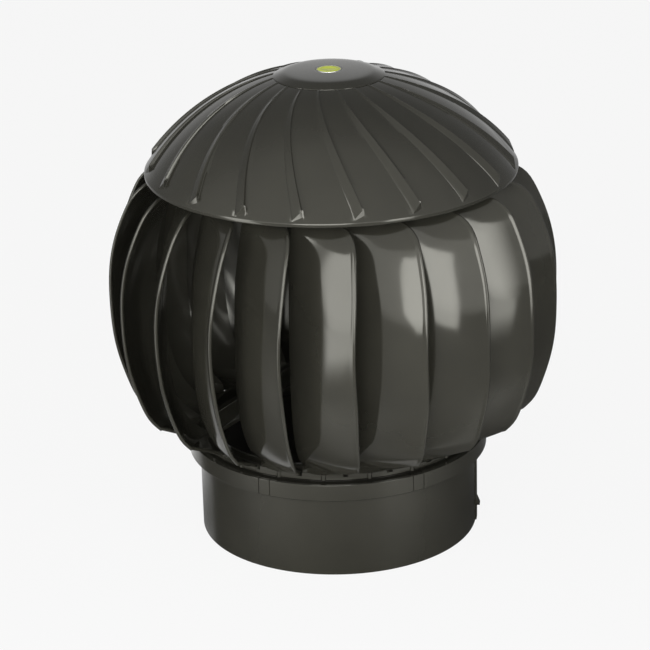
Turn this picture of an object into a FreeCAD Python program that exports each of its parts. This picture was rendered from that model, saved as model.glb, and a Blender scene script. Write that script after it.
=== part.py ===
"""Wind-driven ventilation head: a pipe sleeve carries a spider and a fixed axle,
and a rotor of twenty scoop vanes under a swirl-ribbed cap turns on two bearings.
Millimetres, +Z up, origin on the axis in the plane of the sleeve's lower edge."""
import FreeCAD, Part
import math
import os
from FreeCAD import Vector

# Pipe sleeve
PIPE_OD = 160.0          # outside diameter of the vent pipe that the sleeve goes over
PIPE_FIT = 0.3           # radial clearance between pipe and sleeve
SLEEVE_WALL = 2.2
SLEEVE_CHAMFER = 1.0     # lead-in at the mouth
SOCKET_DEPTH = 46.0      # the pipe goes in this far, up to the stop ledge
LEDGE_WIDTH = 2.8
LEDGE_THICK = 2.2
PAD_WIDTH = 9.0          # flat raised pad under the locking nib
PAD_PROUD = 0.7
NIB_HEIGHT = 4.8
NIB_WIDTH = 6.0
NIB_PROUD = 1.9
NIB_Z = 9.0              # underside of the nib
NIB_AZ = 84.0

# Collar and spider that carry the axle
COLLAR_STEP = 6.3        # the collar stands this far outside the sleeve
COLLAR_HEIGHT = 10.2
COLLAR_WALL = 2.4
FLANGE_THICK = 2.3
SPIGOT_FIT = 0.2         # clearance between the sleeve and the parts of the carrier on it
SPIGOT_WALL = 2.0
SPIGOT_DEPTH = 6.0
SPIGOT_GAP = 2.8         # between the spigot's lower edge and the stop ledge
LUG_WIDTH = 7.0
LUG_COUNT = 6
LUG_FIT = 0.2
LUG_AZ = 31.0
ARM_COUNT = 3
ARM_AZ = -90.0
ARM_SLOPE = 0.634        # fall of an arm's upper edge per millimetre of radius
ARM_DEPTH = 14.5
ARM_WEB = 3.0
ARM_FLANGE_WIDTH = 8.0
ARM_FLANGE_THICK = 2.2
ARM_CLEARANCE = 1.6      # between the arms' ends and the rotor's ring round them
HUB_R = 16.0
HUB_RISE = 56.7          # from the collar's top to the hub's
HUB_HEIGHT = 30.0

# Axle, bearings and their fasteners
AXLE_R = 5.0
AXLE_SHOULDER_R = 7.0
AXLE_FIT = 0.05          # radial clearance of the bores that the axle passes through
AXLE_CHAMFER = 0.8
BEARING_R = 15.0
BEARING_WIDTH = 9.0
BEARING_FIT = 0.03
RACE_IN_R = 8.1          # outer radius of the inner ring
RACE_OUT_R = 11.9        # inner radius of the outer ring
BALL_R = 2.38
BALL_FIT = 0.05
BALL_COUNT = 8
CAGE_WALL = 1.2
CAGE_HEIGHT = 2.6
BEARING_GAP = 22.0       # from the lower bearing to the upper one
WASHER_R = 10.0
WASHER_THICK = 1.5
NUT_FLATS = 17.0
LOW_NUT_HEIGHT = 8.0
TOP_NUT_HEIGHT = 5.0
THREAD_END = 2.5         # axle that stands past each nut

# Cap
RIM_R = 107.7
RIM_Z = 222.1
RIM_CHAMFER = 1.0
DOME_RISE = 57.1         # from the rim to where the dome's sphere would cross the axis
CAP_WALL = 2.2
RIB_COUNT = 20
RIB_START_R = 32.6
RIB_INSET = 2.1          # the ribs end this far inside the rim
RIB_SWEEP = 19.6         # the rib's inner end lags its outer end by this angle
RIB_END_AZ = -8.6
RIB_HEIGHT = 2.1         # at the rib's outer end
RIB_WIDTH = 5.8
RIB_START_HEIGHT = 0.5   # at its inner end
RIB_START_WIDTH = 0.8
RIB_FEATHER = 0.03       # height of the ramp's thin edge
RIB_STEP = 0.25          # width of the steep side
RIB_STATIONS = 7
CROWN_R = 22.3           # edge of the flat top of the crown cover
CROWN_BASE_R = 32.0      # where the crown cover meets the dome
CROWN_RISE = 3.5         # from there to its flat top
CROWN_LIP = 1.0
CROWN_WALL = 1.8
CROWN_HOLE_R = 20.0
CROWN_SKIRT = 5.0
CROWN_FIT = 0.2
BADGE_R = 7.2
BADGE_THICK = 1.0
BADGE_RECESS = 0.6
BADGE_CHAMFER = 0.3

# Bearing housing under the cap
HOUSING_WALL = 4.0
HOUSING_FLANGE_R = 34.0
HOUSING_FLANGE_THICK = 3.0
HOUSING_SKIRT = 4.0      # tube below the lower bearing
HOUSING_GUSSETS = 8
GUSSET_THICK = 2.5
GUSSET_DROP = 26.0
GUSSET_INSET = 1.0
BOSS_DROP = 6.4          # from the dome's underside, at the flange's edge, to the flange
SHOULDER_WIDTH = 2.0     # step between the bearing seats
SCREW_COUNT = 4
SCREW_CIRCLE_R = 28.0
SCREW_R = 2.0
SCREW_FIT = 0.15
SCREW_HEAD_R = 3.6
SCREW_HEAD_HEIGHT = 2.4
SCREW_BOSS_R = 4.5
SCREW_GRIP = 5.0
SCREW_TIP_GAP = 0.3
SCREW_SOCKET_R = 1.4

# Vanes and the ring under them
VANE_COUNT = 20
VANE_WALL = 1.8
SLOT_AZ = 3.0            # middle of the slot after the first vane's foot
SLOT_WIDTH = 1.5
VANE_SAGITTA = 3.0       # depth of the vane's scoop at mid height
ROOT_LAG = 17.0          # the vane's inner edge lies this far behind the slot
BELLY_R = 131.8          # the vane's free edge at its widest
BELLY_Z = 144.4
EDGE_SWELL = 18.6        # from the tip, where the free edge leaves the floor, to the belly
TIP_RISE = 12.7          # from the foot's top to the tip
EDGE_DROP = 0.6          # the free edge ends this far under the cap's seat
ROOT_BELLY_R = 105.5     # the vane's inner edge at its widest
ROOT_BELLY_Z = 146.0
ROOT_RISE = 4.0          # from the foot's top to the lower end of the inner edge
ROOT_DROP = 1.2
ROOT_INSET = 1.5         # the inner edge starts this far inside the foot's outer edge
FLOOR_SAGITTA = 1.9      # the scoop's depth where the wall meets its floor
FLOOR_INSET = 0.5        # the floor rises out of the foot this far inside its edge
CREASE_BEAD = 0.5        # the wall's lower edge stands this far past the floor
VANE_STATIONS = 13
TAB_INSET = 11.2         # the tabs end this far inside the rim
TAB_LENGTH = 12.0
TAB_THICK = 2.2
SEAT_DROP = 2.5          # from the dome's edge down to the seat, where the vane tabs lie
SEAT_THICK = 2.2
SKIRT_WALL = 2.4
FOOT_GAP = 0.3           # the feet and their ring keep this far outside the spigot
FOOT_STEP = 1.5          # the feet reach this far past the sleeve
FOOT_THICK = 2.2
RING_GAP = 1.4           # running gap between the collar and the ring above it
RING_THICK = 1.7
PIN_R = 1.5
PIN_FIT = 0.1
PIN_INSET = 0.6          # the lower pins' centres lie this far inside the ring's edge
PIN_CAP = 0.6            # of the foot's thickness, left above the lower pins
PIN_HEAD_R = 2.4
PIN_HEAD_THICK = 1.0
TAB_PIN_INSET = 3.4      # from the tab's inner edge to its pin
UPSTAND_FIT = 0.2
UPSTAND_WALL = 1.6
UPSTAND_HEIGHT = 4.0

# Sizes that follow from the ones above
BORE_R = PIPE_OD / 2 + PIPE_FIT
SLEEVE_R = BORE_R + SLEEVE_WALL
SLEEVE_TOP = SOCKET_DEPTH + LEDGE_THICK + SPIGOT_GAP + SPIGOT_DEPTH
COLLAR_R = SLEEVE_R + COLLAR_STEP
COLLAR_TOP = SLEEVE_TOP + FLANGE_THICK
COLLAR_BOTTOM = COLLAR_TOP - COLLAR_HEIGHT
SPIGOT_R = BORE_R - SPIGOT_FIT
SPIGOT_R_IN = SPIGOT_R - SPIGOT_WALL
HUB_TOP = COLLAR_TOP + HUB_RISE
HUB_BOTTOM = HUB_TOP - HUB_HEIGHT
BALL_CIRCLE_R = (RACE_IN_R + RACE_OUT_R) / 2
HOUSING_R = BEARING_R + BEARING_FIT + HOUSING_WALL
PITCH = 360.0 / VANE_COUNT
RING_BOTTOM = COLLAR_TOP + RING_GAP
RING_TOP = RING_BOTTOM + RING_THICK
FOOT_TOP = RING_TOP + FOOT_THICK
FOOT_R_IN = SPIGOT_R_IN + FOOT_GAP
FOOT_R_OUT = SLEEVE_R + FOOT_STEP
UPSTAND_R = FOOT_R_IN - UPSTAND_FIT
ARM_END_R = UPSTAND_R - UPSTAND_WALL - ARM_CLEARANCE
DOME_R = (RIM_R ** 2 + DOME_RISE ** 2) / (2 * DOME_RISE)
DOME_CENTRE = RIM_Z + DOME_RISE - DOME_R
RIB_END_R = RIM_R - RIB_INSET
SEAT_Z = RIM_Z - SEAT_DROP
TAB_R_OUT = RIM_R - TAB_INSET
TAB_R_IN = TAB_R_OUT - TAB_LENGTH
LOW_PIN_CIRCLE_R = FOOT_R_OUT - PIN_INSET
TAB_PIN_CIRCLE_R = TAB_R_IN + TAB_PIN_INSET
OVERCUT = 1.0            # a cutting shape reaches this far past the piece that it cuts
UP = Vector(0, 0, 1)
ORIGIN = Vector(0, 0, 0)


def polar(r, az, z):
    """Point at radius r; az is in degrees from the front (-Y), growing towards +X."""
    a = math.radians(az)
    return Vector(r * math.sin(a), -r * math.cos(a), z)


def turned(shape, az):
    """Copy of a shape drawn in the XZ half plane, or round it, turned to azimuth az."""
    out = shape.copy()
    out.rotate(ORIGIN, UP, az)
    return out


def face_of(points):
    """Flat face with straight sides through the given points."""
    return Part.Face(Part.makePolygon(points + points[:1]))


def revolved(profile, az_from=0.0, sweep=360.0):
    """Solid of revolution of a closed (r, z) outline, starting at azimuth az_from."""
    face = face_of([polar(r, az_from, z) for r, z in profile])
    return face.revolve(ORIGIN, UP, sweep)


def ring(r_in, r_out, z_low, z_high):
    return revolved([(r_in, z_low), (r_out, z_low), (r_out, z_high), (r_in, z_high)])


def sector(r_in, r_out, z_low, z_high, az_from, az_to):
    outline = [(r_in, z_low), (r_out, z_low), (r_out, z_high), (r_in, z_high)]
    return revolved(outline, az_from, az_to - az_from)


def rod(r, z_low, z_high, x=0.0, y=0.0):
    return Part.makeCylinder(r, z_high - z_low, Vector(x, y, z_low))


def rod_at(r, z_low, z_high, radius, az):
    p = polar(radius, az, 0)
    return rod(r, z_low, z_high, p.x, p.y)


def radial_plate(profile, thick, az):
    """Upright plate: an outline of (r, z) points, given a thickness square to the radius."""
    face = face_of([Vector(thick / -2, -r, z) for r, z in profile])
    return turned(face.extrude(Vector(thick, 0, 0)), az)


def hexagon(flats, z_low, z_high):
    corner = flats / math.sqrt(3)
    points = [polar(corner, 60 * i, z_low) for i in range(6)]
    return face_of(points).extrude(UP * (z_high - z_low))


def evenly(count, start=0.0):
    return [start + 360.0 * i / count for i in range(count)]


def dome_z(r, depth=0.0):
    """Height of the dome at radius r, or of the surface that lies depth below it."""
    radius = DOME_R - depth
    return DOME_CENTRE + math.sqrt(radius ** 2 - r ** 2)


CROWN_TOP = dome_z(CROWN_BASE_R) + CROWN_RISE
HOUSING_TOP = dome_z(HOUSING_FLANGE_R, CAP_WALL) - BOSS_DROP
UPPER_BEARING_Z = HOUSING_TOP - BEARING_WIDTH
LOWER_BEARING_Z = UPPER_BEARING_Z - BEARING_GAP - BEARING_WIDTH


def base_sleeve():
    """Socket over the pipe, with its stop ledge, locking nib and lugs for the carrier."""
    body = revolved([
        (BORE_R + SLEEVE_CHAMFER, 0), (SLEEVE_R, 0), (SLEEVE_R, SLEEVE_TOP), (BORE_R, SLEEVE_TOP),
        (BORE_R, SOCKET_DEPTH + LEDGE_THICK), (BORE_R - LEDGE_WIDTH, SOCKET_DEPTH + LEDGE_THICK),
        (BORE_R - LEDGE_WIDTH, SOCKET_DEPTH), (BORE_R, SOCKET_DEPTH), (BORE_R, SLEEVE_CHAMFER)])
    extras = []
    reach = BORE_R + SLEEVE_WALL / 2
    for az in evenly(LUG_COUNT, LUG_AZ):
        half = math.degrees(LUG_WIDTH / 2 / COLLAR_R)
        extras.append(sector(reach, COLLAR_R, COLLAR_BOTTOM, SLEEVE_TOP, az - half, az + half))
        extras.append(sector(SLEEVE_R, COLLAR_R, SLEEVE_TOP, COLLAR_TOP, az - half, az + half))
    half = math.degrees(PAD_WIDTH / 2 / SLEEVE_R)
    pad_r = SLEEVE_R + PAD_PROUD
    extras.append(sector(reach, pad_r, 0, COLLAR_BOTTOM, NIB_AZ - half, NIB_AZ + half))
    wedge = [(reach, NIB_Z), (pad_r + NIB_PROUD, NIB_Z), (pad_r, NIB_Z + NIB_HEIGHT),
             (reach, NIB_Z + NIB_HEIGHT)]
    extras.append(radial_plate(wedge, NIB_WIDTH, NIB_AZ))
    return body.fuse(extras).removeSplitter()


def arm_line(r, drop=0.0):
    """Height of an arm's upper edge at radius r, or of a line drop below it."""
    return HUB_TOP - ARM_SLOPE * r - drop


def spider():
    """Channel-shaped collar over the sleeve's top edge, three I-section arms and the hub."""
    spigot_z = SLEEVE_TOP - SPIGOT_DEPTH
    body = revolved([
        (COLLAR_R - COLLAR_WALL, COLLAR_BOTTOM), (COLLAR_R, COLLAR_BOTTOM), (COLLAR_R, COLLAR_TOP),
        (SPIGOT_R_IN, COLLAR_TOP), (SPIGOT_R_IN, spigot_z), (SPIGOT_R, spigot_z),
        (SPIGOT_R, SLEEVE_TOP), (COLLAR_R - COLLAR_WALL, SLEEVE_TOP)])
    half = math.degrees((LUG_WIDTH / 2 + LUG_FIT) / COLLAR_R)
    slots = [sector(SLEEVE_R - SPIGOT_FIT, COLLAR_R + OVERCUT, COLLAR_BOTTOM - OVERCUT, COLLAR_TOP + OVERCUT,
                    az - half, az + half) for az in evenly(LUG_COUNT, LUG_AZ)]
    body = body.cut(slots)
    root = SPIGOT_R_IN + SPIGOT_WALL / 2
    start = HUB_R / 2
    web = [(start, arm_line(start)), (ARM_END_R, arm_line(ARM_END_R)), (ARM_END_R, COLLAR_TOP),
           (root, COLLAR_TOP), (root, spigot_z),
           (ARM_END_R, arm_line(ARM_END_R, ARM_DEPTH)), (start, arm_line(start, ARM_DEPTH))]
    rise = ARM_FLANGE_THICK * math.sqrt(1 + ARM_SLOPE ** 2)
    upper = [(start, arm_line(start)), (ARM_END_R, arm_line(ARM_END_R)),
             (ARM_END_R, arm_line(ARM_END_R, rise)), (start, arm_line(start, rise))]
    lower = [(start, arm_line(start, ARM_DEPTH - rise)), (ARM_END_R, arm_line(ARM_END_R, ARM_DEPTH - rise)),
             (ARM_END_R, arm_line(ARM_END_R, ARM_DEPTH)), (start, arm_line(start, ARM_DEPTH))]
    arms = []
    for az in evenly(ARM_COUNT, ARM_AZ):
        arms.append(radial_plate(web, ARM_WEB, az))
        arms.append(radial_plate(upper, ARM_FLANGE_WIDTH, az))
        arms.append(radial_plate(lower, ARM_FLANGE_WIDTH, az))
    hub = rod(HUB_R, HUB_BOTTOM, HUB_TOP)
    bore = rod(AXLE_R + AXLE_FIT, HUB_BOTTOM - OVERCUT, HUB_TOP + OVERCUT)
    return body.fuse(arms + [hub]).cut(bore).removeSplitter()


def axle():
    """Stepped axle: its shoulder stands on the hub and carries the lower bearing."""
    low_end = HUB_BOTTOM - WASHER_THICK - LOW_NUT_HEIGHT - THREAD_END
    top_end = UPPER_BEARING_Z + BEARING_WIDTH + WASHER_THICK + TOP_NUT_HEIGHT + THREAD_END
    end_r = AXLE_R - AXLE_CHAMFER
    return revolved([
        (0, low_end), (end_r, low_end), (AXLE_R, low_end + AXLE_CHAMFER), (AXLE_R, HUB_TOP),
        (AXLE_SHOULDER_R, HUB_TOP), (AXLE_SHOULDER_R, LOWER_BEARING_Z), (AXLE_R, LOWER_BEARING_Z),
        (AXLE_R, top_end - AXLE_CHAMFER), (end_r, top_end), (0, top_end)])


def washer(z_low):
    return ring(AXLE_R + AXLE_FIT, WASHER_R, z_low, z_low + WASHER_THICK)


def nut(z_low, height):
    """Hexagon nut with both ends turned to a cone, as nuts are."""
    corner = NUT_FLATS / math.sqrt(3)
    cone = revolved([
        (0, z_low), (NUT_FLATS / 2, z_low), (corner, z_low + (corner - NUT_FLATS / 2) / 2),
        (corner, z_low + height - (corner - NUT_FLATS / 2) / 2), (NUT_FLATS / 2, z_low + height),
        (0, z_low + height)])
    body = hexagon(NUT_FLATS, z_low, z_low + height).common(cone)
    return body.cut(rod(AXLE_R + AXLE_FIT, z_low - OVERCUT, z_low + height + OVERCUT))


def groove(z_low):
    """Torus that the balls roll in."""
    return Part.makeTorus(BALL_CIRCLE_R, BALL_R + BALL_FIT, Vector(0, 0, z_low + BEARING_WIDTH / 2))


def bearing_inner(z_low):
    race = ring(AXLE_R + BEARING_FIT, RACE_IN_R, z_low, z_low + BEARING_WIDTH)
    return race.cut(groove(z_low))


def bearing_outer(z_low):
    race = ring(RACE_OUT_R, BEARING_R, z_low, z_low + BEARING_WIDTH)
    return race.cut(groove(z_low))


def bearing_balls(z_low):
    """Balls and the cage that spaces them, as loose pieces of one set."""
    middle = Vector(0, 0, z_low + BEARING_WIDTH / 2)
    balls = [Part.makeSphere(BALL_R, polar(BALL_CIRCLE_R, az, 0) + middle) for az in evenly(BALL_COUNT)]
    cage = ring(BALL_CIRCLE_R - CAGE_WALL / 2, BALL_CIRCLE_R + CAGE_WALL / 2,
                middle.z - CAGE_HEIGHT / 2, middle.z + CAGE_HEIGHT / 2)
    pockets = [Part.makeSphere(BALL_R + BALL_FIT, polar(BALL_CIRCLE_R, az, 0) + middle)
               for az in evenly(BALL_COUNT)]
    return Part.makeCompound(balls + cage.cut(pockets).Solids)


def spacer():
    top = LOWER_BEARING_Z + BEARING_WIDTH
    return ring(AXLE_R + AXLE_FIT, AXLE_SHOULDER_R, top, UPPER_BEARING_Z)


def bearing_housing():
    """Tube with two bearing seats and a step between them, under a gusseted flange."""
    seat = BEARING_R + BEARING_FIT
    step = seat - SHOULDER_WIDTH
    low = LOWER_BEARING_Z - HOUSING_SKIRT
    flange_low = HOUSING_TOP - HOUSING_FLANGE_THICK
    body = revolved([
        (seat, low), (HOUSING_R, low), (HOUSING_R, flange_low), (HOUSING_FLANGE_R, flange_low),
        (HOUSING_FLANGE_R, HOUSING_TOP), (seat, HOUSING_TOP), (seat, UPPER_BEARING_Z),
        (step, UPPER_BEARING_Z), (step, LOWER_BEARING_Z + BEARING_WIDTH),
        (seat, LOWER_BEARING_Z + BEARING_WIDTH)])
    inside = HOUSING_R - HOUSING_WALL / 2
    gusset = [(inside, flange_low), (HOUSING_FLANGE_R - GUSSET_INSET, flange_low),
              (inside, flange_low - GUSSET_DROP)]
    half_step = 180.0 / HOUSING_GUSSETS
    gussets = [radial_plate(gusset, GUSSET_THICK, az + half_step) for az in evenly(HOUSING_GUSSETS)]
    holes = [rod_at(SCREW_R + SCREW_FIT, flange_low - OVERCUT, HOUSING_TOP + OVERCUT, SCREW_CIRCLE_R, az)
             for az in evenly(SCREW_COUNT)]
    return body.fuse(gussets).cut(holes).removeSplitter()


def housing_screws():
    head_top = HOUSING_TOP - HOUSING_FLANGE_THICK
    screws = []
    for az in evenly(SCREW_COUNT):
        head = rod_at(SCREW_HEAD_R, head_top - SCREW_HEAD_HEIGHT, head_top, SCREW_CIRCLE_R, az)
        shank = rod_at(SCREW_R, head_top, HOUSING_TOP + SCREW_GRIP, SCREW_CIRCLE_R, az)
        socket = rod_at(SCREW_SOCKET_R, head_top - SCREW_HEAD_HEIGHT, head_top - SCREW_HEAD_HEIGHT / 2,
                        SCREW_CIRCLE_R, az)
        screws.append(head.fuse(shank).cut(socket).removeSplitter())
    return Part.makeCompound(screws)


def swirl_rib(end_az):
    """Wedge rib that spirals down the dome: a long ramp that ends in a sharp step."""
    sections = []
    for i in range(RIB_STATIONS):
        t = i / (RIB_STATIONS - 1)
        r = RIB_START_R + (RIB_END_R - RIB_START_R) * t
        az = end_az - RIB_SWEEP * (1 - t)
        here = polar(r, az, dome_z(r))
        ahead = polar(r + 1, az + RIB_SWEEP / (RIB_END_R - RIB_START_R), dome_z(r + 1))
        normal = (here - Vector(0, 0, DOME_CENTRE)).normalize()
        side = normal.cross(ahead - here).normalize()
        width = RIB_START_WIDTH + (RIB_WIDTH - RIB_START_WIDTH) * t
        height = RIB_START_HEIGHT + (RIB_HEIGHT - RIB_START_HEIGHT) * t
        sunk = CAP_WALL / 2
        corners = [(-width, -sunk), (-width, RIB_FEATHER), (0, height), (RIB_STEP, -sunk)]
        points = [here + side * a + normal * b for a, b in corners]
        sections.append(Part.makePolygon(points + points[:1]))
    return Part.makeLoft(sections, True, False)


def cap():
    """Domed shell with swirl ribs outside, and the seat for the vanes and bosses inside."""
    hole_z, rim_low = dome_z(CROWN_HOLE_R), RIM_Z - CAP_WALL
    inner_rim_r = RIM_R - CAP_WALL
    mid_r = RIM_R / 2
    outer = Part.Arc(polar(CROWN_HOLE_R, 0, hole_z), polar(mid_r, 0, dome_z(mid_r)), polar(RIM_R, 0, RIM_Z))
    inner_hole = dome_z(CROWN_HOLE_R, CAP_WALL)
    inner_rim = dome_z(inner_rim_r, CAP_WALL)
    inner = Part.Arc(polar(inner_rim_r, 0, inner_rim), polar(mid_r, 0, dome_z(mid_r, CAP_WALL)),
                     polar(CROWN_HOLE_R, 0, inner_hole))
    lip = [polar(RIM_R, 0, RIM_Z), polar(RIM_R, 0, rim_low + RIM_CHAMFER),
           polar(RIM_R - RIM_CHAMFER, 0, rim_low), polar(inner_rim_r, 0, rim_low),
           polar(inner_rim_r, 0, inner_rim)]
    edges = [outer.toShape()] + Part.makePolygon(lip).Edges + [inner.toShape()]
    edges.append(Part.makeLine(polar(CROWN_HOLE_R, 0, inner_hole), polar(CROWN_HOLE_R, 0, hole_z)))
    shell = Part.Face(Part.Wire(edges)).revolve(ORIGIN, UP, 360)
    ribs = [swirl_rib(az) for az in evenly(RIB_COUNT, RIB_END_AZ)]
    skirt_in = TAB_R_OUT - SKIRT_WALL / 2
    skirt_out = skirt_in + SKIRT_WALL
    sunk = CAP_WALL / 2
    seat = revolved([
        (TAB_R_IN, SEAT_Z), (skirt_out, SEAT_Z), (skirt_out, dome_z(skirt_out, sunk)),
        (skirt_in, dome_z(skirt_in, sunk)), (skirt_in, SEAT_Z + SEAT_THICK), (TAB_R_IN, SEAT_Z + SEAT_THICK)])
    collar_out = CROWN_HOLE_R + CAP_WALL
    collar = revolved([
        (CROWN_HOLE_R, HOUSING_TOP), (collar_out, HOUSING_TOP), (collar_out, dome_z(collar_out, sunk)),
        (CROWN_HOLE_R, dome_z(CROWN_HOLE_R, sunk))])
    bosses = []
    holes = []
    for az in evenly(SCREW_COUNT):
        top = dome_z(SCREW_CIRCLE_R + SCREW_BOSS_R, sunk)
        bosses.append(rod_at(SCREW_BOSS_R, HOUSING_TOP, top, SCREW_CIRCLE_R, az))
        holes.append(rod_at(SCREW_R + SCREW_FIT, HOUSING_TOP - OVERCUT,
                            HOUSING_TOP + SCREW_GRIP + SCREW_TIP_GAP, SCREW_CIRCLE_R, az))
    for az in evenly(VANE_COUNT, SLOT_AZ - PITCH / 2):
        holes.append(rod_at(PIN_R + PIN_FIT, SEAT_Z - OVERCUT, SEAT_Z + SEAT_THICK + OVERCUT,
                            TAB_PIN_CIRCLE_R, az))
    body = shell.fuse(ribs + [seat, collar] + bosses).cut(holes).removeSplitter()
    return max(body.Solids, key=lambda solid: solid.Volume)


def crown_cover():
    """Snap-in cover over the axle's end, flat on top, with a recess for the badge disc."""
    skirt_r = CROWN_HOLE_R - CROWN_FIT
    inner_r = skirt_r - CROWN_WALL
    underside = CROWN_TOP - CROWN_WALL
    lip_r = CROWN_BASE_R - CROWN_LIP
    base_z = dome_z(CROWN_BASE_R) + CROWN_FIT
    body = revolved([
        (0, underside), (inner_r, underside), (inner_r, dome_z(skirt_r) - CROWN_SKIRT),
        (skirt_r, dome_z(skirt_r) - CROWN_SKIRT), (skirt_r, dome_z(skirt_r) + CROWN_FIT),
        (lip_r, dome_z(lip_r) + CROWN_FIT), (CROWN_BASE_R, base_z), (CROWN_BASE_R, base_z + CROWN_FIT),
        (CROWN_R, CROWN_TOP), (0, CROWN_TOP)])
    recess = rod(BADGE_R + CROWN_FIT / 2, CROWN_TOP - BADGE_RECESS, CROWN_TOP + OVERCUT)
    return body.cut(recess)


def badge_disc():
    low = CROWN_TOP - BADGE_RECESS
    body = rod(BADGE_R, low, low + BADGE_THICK)
    top = max(body.Faces, key=lambda face: face.CenterOfMass.z)
    return body.makeChamfer(BADGE_CHAMFER, top.Edges)


def guide(lower_end, belly, upper_end, lower, upper):
    """Smooth curve from one end over a belly to the other, all as (radius, azimuth, height).

    lower and upper give points between, as shares of the way in radius and height to the
    belly from the lower end, or from the belly to the upper end, each with its azimuth."""
    points = [lower_end]
    for (start, end), shares in (((lower_end, belly), lower), ((belly, upper_end), upper)):
        for r_share, z_share, az in shares:
            points.append((start[0] + (end[0] - start[0]) * r_share, az,
                           start[2] + (end[2] - start[2]) * z_share))
        points.append(end)
    curve = Part.BSplineCurve()
    curve.interpolate([polar(*p) for p in points])
    return curve


def along(curve, count):
    """Points and directions at even steps along a curve."""
    points = curve.discretize(Number=count)
    tangents = []
    for point in points:
        tangents.append(curve.tangent(curve.parameter(point))[0])
    return list(zip(points, tangents))


def strip(inner, outer, rise, bulge):
    """Closed outline across a vane: two parallel arcs from its root to its free edge."""
    chord = outer - inner
    normal = chord.cross(rise).normalize()
    middle = (inner + outer) * 0.5 + normal * bulge
    back = normal * VANE_WALL
    edges = [Part.Arc(inner, middle, outer).toShape(), Part.makeLine(outer, outer - back),
             Part.Arc(outer - back, middle - back, inner - back).toShape(),
             Part.makeLine(inner - back, inner)]
    return Part.Wire(edges)


def vane():
    """Scoop vane: a bellied wall, its floor with the foot, and a lip with the tab on top."""
    half_slot = math.degrees(SLOT_WIDTH / 2 / FOOT_R_OUT)
    foot_from, foot_to = SLOT_AZ - PITCH + half_slot, SLOT_AZ - half_slot
    root_az = SLOT_AZ - ROOT_LAG
    edge = guide(
        (BELLY_R - EDGE_SWELL, 5.8, FOOT_TOP + TIP_RISE), (BELLY_R, 4.4, BELLY_Z),
        (TAB_R_OUT, 1.6, SEAT_Z - EDGE_DROP),
        [(0.333, 0.097, 5.6), (0.516, 0.268, 5.2), (0.86, 0.672, 4.8)],
        [(0.045, 0.281, 4.6), (0.179, 0.55, 5.2), (0.357, 0.759, 5.6), (0.533, 0.895, 5.8),
         (0.779, 0.979, 4.6)])
    root = guide(
        (FOOT_R_OUT - ROOT_INSET, root_az, FOOT_TOP + ROOT_RISE), (ROOT_BELLY_R, root_az, ROOT_BELLY_Z),
        (TAB_R_IN + TAB_LENGTH / 2, root_az, SEAT_Z - ROOT_DROP),
        [(0.37, 0.078, root_az), (0.683, 0.214, root_az), (0.9, 0.509, root_az), (0.99, 0.819, root_az)],
        [(0.073, 0.249, root_az), (0.3, 0.566, root_az), (0.62, 0.808, root_az), (0.813, 0.934, root_az)])
    outline = []
    stations = list(zip(along(root, VANE_STATIONS), along(edge, VANE_STATIONS)))
    for i, ((inner, inner_rise), (outer, outer_rise)) in enumerate(stations):
        t = i / (VANE_STATIONS - 1)
        bulge = VANE_SAGITTA * (0.55 + 0.45 * math.sin(math.pi * t)) * (1 - 0.9 * t ** 6)
        outline.append(strip(inner, outer, inner_rise + outer_rise, bulge))
    wall = Part.makeLoft(outline, True, False)
    (inner, inner_rise), (outer, outer_rise) = stations[0]
    outward = (outer - inner).cross(inner_rise + outer_rise).normalize()
    up = (inner_rise + outer_rise).normalize()
    tuck = (up - outward) * CREASE_BEAD
    sill_z = RING_TOP + FOOT_THICK / 2
    sill_r = FOOT_R_OUT - FLOOR_INSET
    sill = (polar(sill_r, foot_from, sill_z), polar(sill_r, foot_to, sill_z))
    crease = (inner + tuck, outer + tuck)
    rise = crease[0] - sill[0] + crease[1] - sill[1]
    outline = []
    for t in (0.0, 0.35, 0.7, 1.0):
        left, right = [low * (1 - t) + high * t for low, high in zip(sill, crease)]
        outline.append(strip(left, right, rise, FLOOR_SAGITTA * (0.35 + 0.65 * t)))
    floor = Part.makeLoft(outline, True, False)
    foot = sector(FOOT_R_IN, FOOT_R_OUT, RING_TOP, FOOT_TOP, foot_from, foot_to)
    middle = SLOT_AZ - PITCH / 2
    half_tab = PITCH / 2 - half_slot
    tab = sector(TAB_R_IN, TAB_R_OUT, SEAT_Z - TAB_THICK, SEAT_Z, middle - half_tab, middle + half_tab)
    hole_r = PIN_R + PIN_FIT
    low_hole = rod_at(hole_r, RING_TOP - OVERCUT, FOOT_TOP - PIN_CAP, LOW_PIN_CIRCLE_R, middle)
    tab_hole = rod_at(hole_r, SEAT_Z - TAB_THICK - OVERCUT, SEAT_Z + OVERCUT, TAB_PIN_CIRCLE_R, middle)
    return wall.fuse([floor, foot, tab]).cut([low_hole, tab_hole]).removeSplitter()


def lower_ring():
    """Flat ring under the vanes' feet, stiffened by an upstand inside them."""
    inner = UPSTAND_R - UPSTAND_WALL
    body = revolved([
        (inner, RING_BOTTOM), (FOOT_R_OUT, RING_BOTTOM), (FOOT_R_OUT, RING_TOP), (UPSTAND_R, RING_TOP),
        (UPSTAND_R, RING_TOP + UPSTAND_HEIGHT), (inner, RING_TOP + UPSTAND_HEIGHT)])
    holes = [rod_at(PIN_R + PIN_FIT, RING_BOTTOM - OVERCUT, RING_TOP + OVERCUT, LOW_PIN_CIRCLE_R, az)
             for az in evenly(VANE_COUNT, SLOT_AZ - PITCH / 2)]
    return body.cut(holes)


def ring_pins():
    """Pins that locate the vanes' feet on the ring, flush with its underside."""
    return Part.makeCompound([rod_at(PIN_R, RING_BOTTOM, FOOT_TOP - PIN_CAP, LOW_PIN_CIRCLE_R, az)
                              for az in evenly(VANE_COUNT, SLOT_AZ - PITCH / 2)])


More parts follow.
